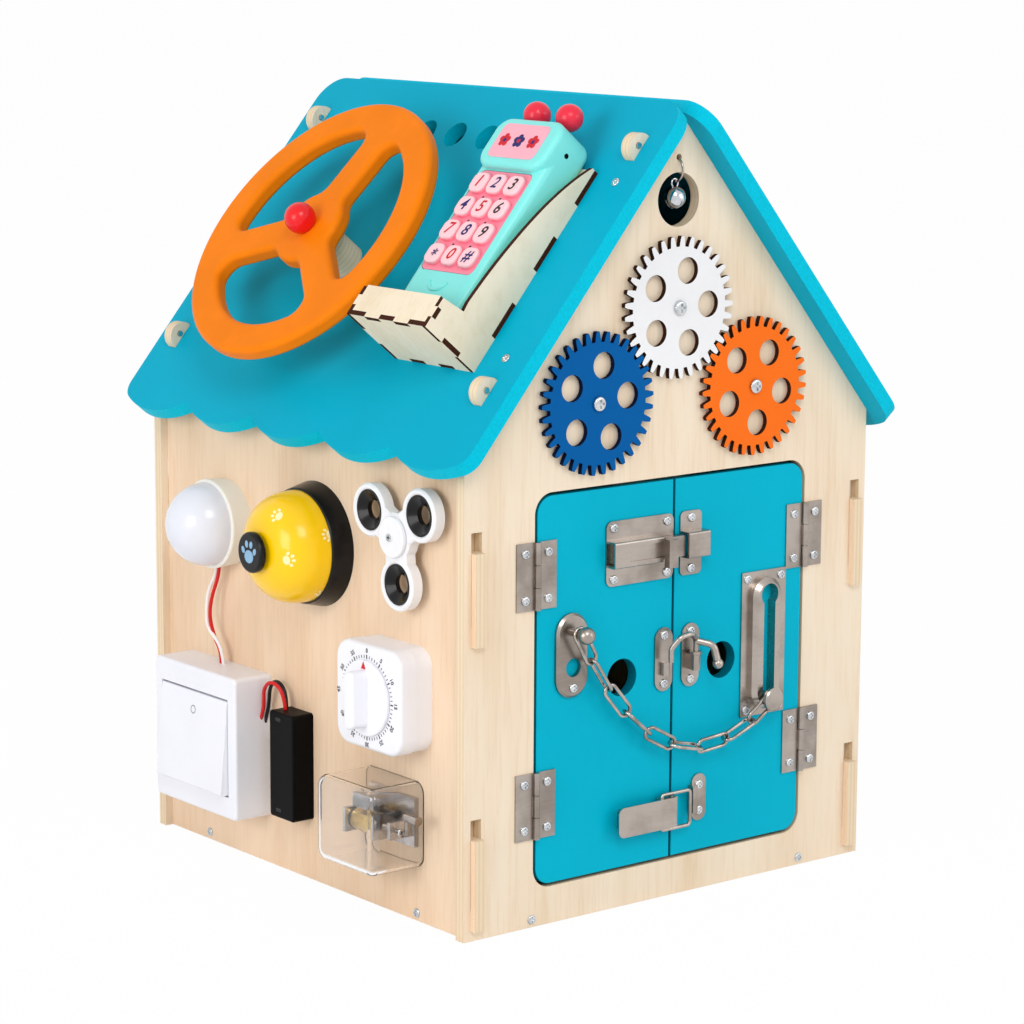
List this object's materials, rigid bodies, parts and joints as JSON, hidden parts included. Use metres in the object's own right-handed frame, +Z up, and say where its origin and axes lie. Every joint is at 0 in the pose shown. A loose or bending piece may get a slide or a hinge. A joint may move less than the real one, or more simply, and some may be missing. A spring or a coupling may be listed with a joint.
{
  "type": "wooden busy board",
  "caption": "House-shaped wooden busy board with two doors, latches, a chain, meshing gears, a steering wheel, a toy phone, a bell, a lamp, a timer and a switch",
  "frame": {"origin": "middle of the footprint, on the floor", "axes": "+Z up, -Y towards the door side, +X to the right seen from the doors"},
  "size_m": [0.3589, 0.3422, 0.4558],
  "materials": {
    "aqua_plastic": "gloss",
    "bell_enamel": "gloss enamel",
    "black_plastic": "satin",
    "clear_plastic": "clear",
    "cradle_ply": "thin ply with dark laser-cut edges",
    "gear_blue_paint": "satin paint on ply with dark cut edges",
    "gear_orange_paint": "satin paint on ply with dark cut edges",
    "gear_white_paint": "satin paint on ply with dark cut edges",
    "gold_metal": "polished",
    "lens_plastic": "milky gloss",
    "orange_plastic": "gloss",
    "painted_ply": "turquoise satin paint on ply",
    "pink_plastic": "satin",
    "plywood": "bare laser-cut birch ply",
    "red_paint": "gloss",
    "screw_steel": "bright plated",
    "steel": "satin nickel-plated",
    "white_plastic": "satin",
    "wire_jacket": "smooth insulation"
  },
  "bodies": {
    "house": {"front_gable": "plywood", "back_gable": "plywood", "left_side_panel": "plywood", "right_side_panel": "plywood", "base_panel": "plywood", "roof_left": "painted_ply", "roof_right": "painted_ply", "frame_screws": "screw_steel", "gear_axles": "screw_steel", "hinge_frame_leaves": "steel", "bell_ring": "steel", "steering_post": "plywood", "phone_cradle": "cradle_ply", "lamp_cup": "white_plastic", "lamp_dome": "lens_plastic", "call_bell_base": "black_plastic", "call_bell_dome": "bell_enamel", "spinner_axle": "black_plastic", "timer_case": "white_plastic", "switch_box": "white_plastic", "battery_case": "black_plastic", "music_case": "clear_plastic", "music_movement": "gold_metal", "wires": "wire_jacket"},
    "door_left": {"left_door": "painted_ply", "left_hinge_leaves": "steel", "left_door_screws": "screw_steel", "bolt_housing": "steel", "hook_rest": "steel", "toggle_base": "steel", "chain_anchor": "steel", "door_chain": "steel"},
    "door_right": {"right_door": "painted_ply", "right_hinge_leaves": "steel", "right_door_screws": "screw_steel", "bolt_keeper": "steel", "hook_base": "steel", "toggle_strike": "steel", "chain_track": "steel"},
    "bolt": {"bolt_bar": "steel"},
    "latch_lever": {"toggle_lever": "steel"},
    "latch_loop": {"toggle_loop": "steel"},
    "hook": {"hook_arm": "steel"},
    "track_knob": {"chain_knob": "steel"},
    "gear_top": {"gear_white": "gear_white_paint"},
    "gear_left": {"gear_blue": "gear_blue_paint"},
    "gear_right": {"gear_orange": "gear_orange_paint"},
    "bell": {"jingle_bell": "screw_steel"},
    "wheel": {"steering_wheel": "orange_plastic", "steering_cap": "red_paint"},
    "phone": {"phone_case": "aqua_plastic", "phone_antennae": "pink_plastic"},
    "keypad": {"phone_keypad": "pink_plastic"},
    "bell_button": {"call_bell_plunger": "black_plastic"},
    "spinner": {"spinner_body": "white_plastic", "spinner_weights": "black_plastic"},
    "timer_dial": {"timer_knob": "white_plastic"},
    "rocker": {"switch_rocker": "white_plastic"},
    "drum": {"music_cylinder": "gold_metal"},
    "crank": {"music_crank": "steel"}
  },
  "joints": [
    {"name": "left_door_hinge", "type": "hinge", "parent": "house", "child": "door_left", "pos_m": [-0.1004, -0.1559, 0.133], "axis": [0, 0, -1], "range_deg": [0, 110]},
    {"name": "right_door_hinge", "type": "hinge", "parent": "house", "child": "door_right", "pos_m": [0.1004, -0.1559, 0.133], "axis": [0, 0, 1], "range_deg": [0, 110]},
    {"name": "bolt_slide", "type": "slide", "parent": "door_left", "child": "bolt", "axis": [1, 0, 0], "range_m": [-0.022, 0.01]},
    {"name": "toggle_lever_hinge", "type": "hinge", "parent": "door_left", "child": "latch_lever", "pos_m": [-0.0026, -0.1582, 0.0515], "axis": [0, 0, 1], "range_deg": [0, 110]},
    {"name": "toggle_loop_hinge", "type": "hinge", "parent": "latch_lever", "child": "latch_loop", "pos_m": [-0.01, -0.1582, 0.0515], "axis": [0, 0, 1], "range_deg": [-110, 0]},
    {"name": "hook_swing", "type": "hinge", "parent": "door_right", "child": "hook", "pos_m": [0.0127, -0.16, 0.1406], "axis": [0, 0, 1], "range_deg": [0, 50]},
    {"name": "chain_knob_slide", "type": "slide", "parent": "door_left", "child": "track_knob", "axis": [0, 0, 1], "range_m": [0, 0.06], "deforming": ["door_chain"]},
    {"name": "gear_top_spin", "type": "hinge", "parent": "house", "child": "gear_top", "pos_m": [-0.0017, -0.1565, 0.3412], "axis": [0, -1, 0], "continuous": true},
    {"name": "gear_left_spin", "type": "hinge", "parent": "house", "child": "gear_left", "pos_m": [-0.06, -0.1565, 0.2922], "axis": [0, -1, 0], "continuous": true},
    {"name": "gear_right_spin", "type": "hinge", "parent": "house", "child": "gear_right", "pos_m": [0.0566, -0.1565, 0.2922], "axis": [0, -1, 0], "continuous": true},
    {"name": "jingle_bell_swing", "type": "hinge", "parent": "house", "child": "bell", "pos_m": [0, -0.1505, 0.411], "axis": [1, 0, 0], "range_deg": [-30, 30]},
    {"name": "steering_spin", "type": "hinge", "parent": "house", "child": "wheel", "pos_m": [-0.11504, 0.0355, 0.376], "axis": [-0.7682, 0, 0.6402], "continuous": true},
    {"name": "phone_lift", "type": "slide", "parent": "house", "child": "phone", "axis": [0.6402, 0, 0.7682], "range_m": [0, 0.15]},
    {"name": "keypad_press", "type": "slide", "parent": "phone", "child": "keypad", "axis": [0.7682, 0, -0.6402], "range_m": [0, 0.0008], "stiffness_N_per_m": 800, "springref_m": -0.001},
    {"name": "bell_button_press", "type": "slide", "parent": "house", "child": "bell_button", "axis": [1, 0, 0], "range_m": [0, 0.0018], "stiffness_N_per_m": 500, "springref_m": -0.002},
    {"name": "spinner_spin", "type": "hinge", "parent": "house", "child": "spinner", "pos_m": [-0.1535, -0.1, 0.22], "axis": [-1, 0, 0], "continuous": true},
    {"name": "timer_dial_turn", "type": "hinge", "parent": "house", "child": "timer_dial", "pos_m": [-0.1684, -0.0895, 0.129], "axis": [-1, 0, 0], "range_deg": [0, 300]},
    {"name": "switch_rocker_tilt", "type": "hinge", "parent": "house", "child": "rocker", "pos_m": [-0.168, 0.081, 0.0725], "axis": [0, -1, 0], "range_deg": [0, 10]},
    {"name": "music_crank_turn", "type": "hinge", "parent": "house", "child": "crank", "pos_m": [-0.16, -0.1, 0.0548], "axis": [0, -1, 0], "continuous": true},
    {"name": "music_drum_turn", "type": "hinge", "parent": "house", "child": "drum", "pos_m": [-0.158, -0.0838, 0.0543], "axis": [0, -1, 0], "continuous": true}
  ],
  "couplings": [
    {"joint": "right_door_hinge", "follows": "left_door_hinge", "ratio": 1},
    {"joint": "toggle_loop_hinge", "follows": "toggle_lever_hinge", "ratio": -1},
    {"joint": "gear_left_spin", "follows": "gear_top_spin", "ratio": -1},
    {"joint": "gear_right_spin", "follows": "gear_top_spin", "ratio": -1},
    {"joint": "music_drum_turn", "follows": "music_crank_turn", "ratio": -0.1}
  ]
}
